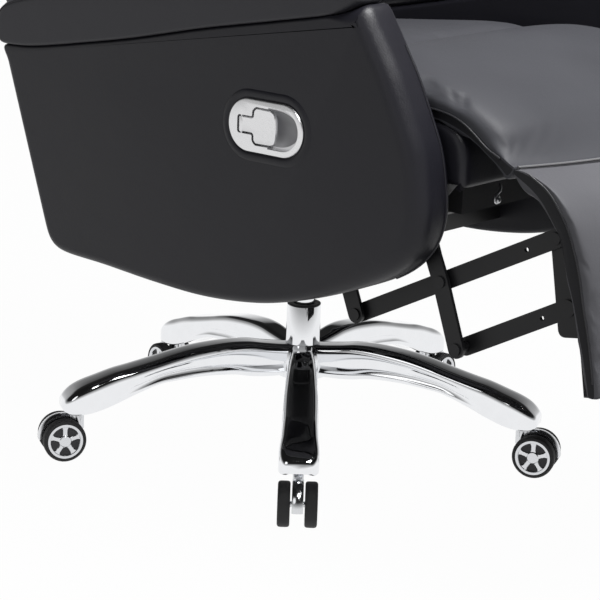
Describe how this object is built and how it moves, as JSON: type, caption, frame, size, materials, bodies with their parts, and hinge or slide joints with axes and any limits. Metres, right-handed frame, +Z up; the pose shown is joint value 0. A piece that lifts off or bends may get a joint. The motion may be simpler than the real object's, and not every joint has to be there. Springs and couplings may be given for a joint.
{
  "type": "reclining office chair with footrest",
  "caption": "Upholstered reclining swivel chair with closed arm panels, a linkage footrest, gas lift and a star base on twin-wheel casters.",
  "frame": {"origin": "on the floor, under the middle of the whole chair's box with the footrest partly raised", "axes": "+X to the sitter's left, +Y to the rear, +Z up"},
  "size_m": [0.713, 1.3158, 1.1231],
  "materials": {
    "chrome": "polished",
    "satin_metal": "satin",
    "black_steel": "satin black",
    "bare_steel": "ground",
    "black_plastic": "matt",
    "tyre": "matt",
    "leather": "semi-gloss",
    "cover": "matt"
  },
  "bodies": {
    "base": {"star_base": "chrome", "lift_tube": "chrome", "guide_bush": "black_plastic", "thrust_bearing": "bare_steel"},
    "lift_rod": {"lift_rod": "bare_steel"},
    "seat": {"lift_cylinder": "chrome", "swivel_plate": "black_steel", "cross_rail_front": "black_steel", "cross_rail_rear": "black_steel", "side_plate_right": "black_steel", "side_plate_left": "black_steel", "seat_box": "cover", "seat_front_rail": "cover", "spring_hook": "satin_metal", "seat_cushion": "leather", "knee_pad": "leather", "arm_body_right": "leather", "arm_pad_right": "leather", "arm_body_left": "leather", "arm_pad_left": "leather", "handle_bezel": "satin_metal"},
    "caster_1": {"caster_housing_1": "chrome"},
    "wheel_1a": {"caster_wheel_1a": "tyre"},
    "wheel_1b": {"caster_wheel_1b": "tyre"},
    "caster_2": {"caster_housing_2": "chrome"},
    "wheel_2a": {"caster_wheel_2a": "tyre"},
    "wheel_2b": {"caster_wheel_2b": "tyre"},
    "caster_3": {"caster_housing_3": "chrome"},
    "wheel_3a": {"caster_wheel_3a": "tyre"},
    "wheel_3b": {"caster_wheel_3b": "tyre"},
    "caster_4": {"caster_housing_4": "chrome"},
    "wheel_4a": {"caster_wheel_4a": "tyre"},
    "wheel_4b": {"caster_wheel_4b": "tyre"},
    "caster_5": {"caster_housing_5": "chrome"},
    "wheel_5a": {"caster_wheel_5a": "tyre"},
    "wheel_5b": {"caster_wheel_5b": "tyre"},
    "front_links": {"front_link_right": "black_steel", "front_link_left": "black_steel", "drive_tube": "black_steel"},
    "long_bars": {"long_bar_right": "black_steel", "long_bar_left": "black_steel"},
    "lower_bars": {"lower_bar_right": "black_steel", "lower_bar_left": "black_steel"},
    "rear_links": {"rear_link_right": "black_steel", "rear_link_left": "black_steel"},
    "footrest": {"footrest_bracket_right": "black_steel", "footrest_bracket_left": "black_steel", "footrest_board": "cover", "footrest_pad": "leather"},
    "back": {"back_bracket_right": "black_steel", "back_bracket_left": "black_steel", "back_shell": "leather", "back_cushion": "leather", "headrest_pad": "leather"},
    "pull_lever": {"pull_lever": "satin_metal"},
    "height_lever": {"height_lever": "black_plastic"}
  },
  "joints": [
    {"name": "swivel", "type": "hinge", "parent": "base", "child": "lift_rod", "pos_m": [-0.02378, 0.00118, 0.20454], "axis": [0, 0, 1], "continuous": true},
    {"name": "height", "type": "slide", "parent": "lift_rod", "child": "seat", "axis": [0, 0, 1], "range_m": [-0.01, 0.04]},
    {"name": "caster_swivel_1", "type": "hinge", "parent": "base", "child": "caster_1", "pos_m": [0.30044, 0.02386, 0.07954], "axis": [0, 0, 1], "continuous": true},
    {"name": "wheel_spin_1a", "type": "hinge", "parent": "caster_1", "child": "wheel_1a", "pos_m": [0.3242, 0.00797, 0.02954], "axis": [-0.0698, 0.9976, 0], "continuous": true},
    {"name": "wheel_spin_1b", "type": "hinge", "parent": "caster_1", "child": "wheel_1b", "pos_m": [0.32176, 0.04289, 0.02954], "axis": [-0.0698, 0.9976, 0], "continuous": true},
    {"name": "caster_swivel_2", "type": "hinge", "parent": "base", "child": "caster_2", "pos_m": [0.05484, 0.31654, 0.07954], "axis": [0, 0, 1], "continuous": true},
    {"name": "wheel_spin_2a", "type": "hinge", "parent": "caster_2", "child": "wheel_2a", "pos_m": [0.07729, 0.33423, 0.02954], "axis": [-0.9703, 0.2419, 0], "continuous": true},
    {"name": "wheel_spin_2b", "type": "hinge", "parent": "caster_2", "child": "wheel_2b", "pos_m": [0.04333, 0.3427, 0.02954], "axis": [-0.9703, 0.2419, 0], "continuous": true},
    {"name": "caster_swivel_3", "type": "hinge", "parent": "base", "child": "caster_3", "pos_m": [-0.29941, 0.17341, 0.07954], "axis": [0, 0, 1], "continuous": true},
    {"name": "wheel_spin_3a", "type": "hinge", "parent": "caster_3", "child": "wheel_3a", "pos_m": [-0.3093, 0.20023, 0.02954], "axis": [-0.5299, -0.848, 0], "continuous": true},
    {"name": "wheel_spin_3b", "type": "hinge", "parent": "caster_3", "child": "wheel_3b", "pos_m": [-0.32785, 0.17055, 0.02954], "axis": [-0.5299, -0.848, 0], "continuous": true},
    {"name": "caster_swivel_4", "type": "hinge", "parent": "base", "child": "caster_4", "pos_m": [-0.27276, -0.20773, 0.07954], "axis": [0, 0, 1], "continuous": true},
    {"name": "wheel_spin_4a", "type": "hinge", "parent": "caster_4", "child": "wheel_4a", "pos_m": [-0.30132, -0.20885, 0.02954], "axis": [0.6428, -0.766, 0], "continuous": true},
    {"name": "wheel_spin_4b", "type": "hinge", "parent": "caster_4", "child": "wheel_4b", "pos_m": [-0.27882, -0.23566, 0.02954], "axis": [0.6428, -0.766, 0], "continuous": true},
    {"name": "caster_swivel_5", "type": "hinge", "parent": "base", "child": "caster_5", "pos_m": [0.09797, -0.30016, 0.07954], "axis": [0, 0, 1], "continuous": true},
    {"name": "wheel_spin_5a", "type": "hinge", "parent": "caster_5", "child": "wheel_5a", "pos_m": [0.09021, -0.32767, 0.02954], "axis": [0.9272, 0.3746, 0], "continuous": true},
    {"name": "wheel_spin_5b", "type": "hinge", "parent": "caster_5", "child": "wheel_5b", "pos_m": [0.12266, -0.31456, 0.02954], "axis": [0.9272, 0.3746, 0], "continuous": true},
    {"name": "footrest_open", "type": "hinge", "parent": "seat", "child": "front_links", "pos_m": [0, -0.39023, 0.44221], "axis": [-1, 0, 0], "range_deg": [-40, 58]},
    {"name": "long_bar_turn", "type": "hinge", "parent": "front_links", "child": "long_bars", "pos_m": [0, -0.42282, 0.36154], "axis": [-1, 0, 0], "range_deg": [-58, 40]},
    {"name": "footrest_turn", "type": "hinge", "parent": "long_bars", "child": "footrest", "pos_m": [0, -0.57655, 0.44089], "axis": [-1, 0, 0], "range_deg": [-40, 58]},
    {"name": "lower_bar_turn", "type": "hinge", "parent": "front_links", "child": "lower_bars", "pos_m": [0, -0.45093, 0.28345], "axis": [-1, 0, 0], "range_deg": [-60.5, 42]},
    {"name": "rear_link_turn", "type": "hinge", "parent": "seat", "child": "rear_links", "pos_m": [0, -0.26315, 0.37662], "axis": [-1, 0, 0], "range_deg": [-40, 58]},
    {"name": "recline", "type": "hinge", "parent": "seat", "child": "back", "pos_m": [0, 0.17918, 0.46954], "axis": [-1, 0, 0], "range_deg": [-21, 20]},
    {"name": "pull_lever_swing", "type": "hinge", "parent": "seat", "child": "pull_lever", "pos_m": [-0.34403, -0.15638, 0.52305], "axis": [0, 0, -1], "range_deg": [0, 35], "stiffness_Nm_per_rad": 0.08, "springref_deg": -17.19},
    {"name": "height_lever_lift", "type": "hinge", "parent": "seat", "child": "height_lever", "pos_m": [-0.00638, 0.00118, 0.28954], "axis": [0, -1, 0], "range_deg": [0, 3], "stiffness_Nm_per_rad": 2, "springref_deg": -11.46}
  ],
  "couplings": [
    {"joint": "long_bar_turn", "follows": "footrest_open", "ratio": -1},
    {"joint": "footrest_turn", "follows": "footrest_open", "ratio": 1},
    {"joint": "lower_bar_turn", "follows": "footrest_open", "ratio": -1.04},
    {"joint": "rear_link_turn", "follows": "footrest_open", "ratio": 1}
  ]
}
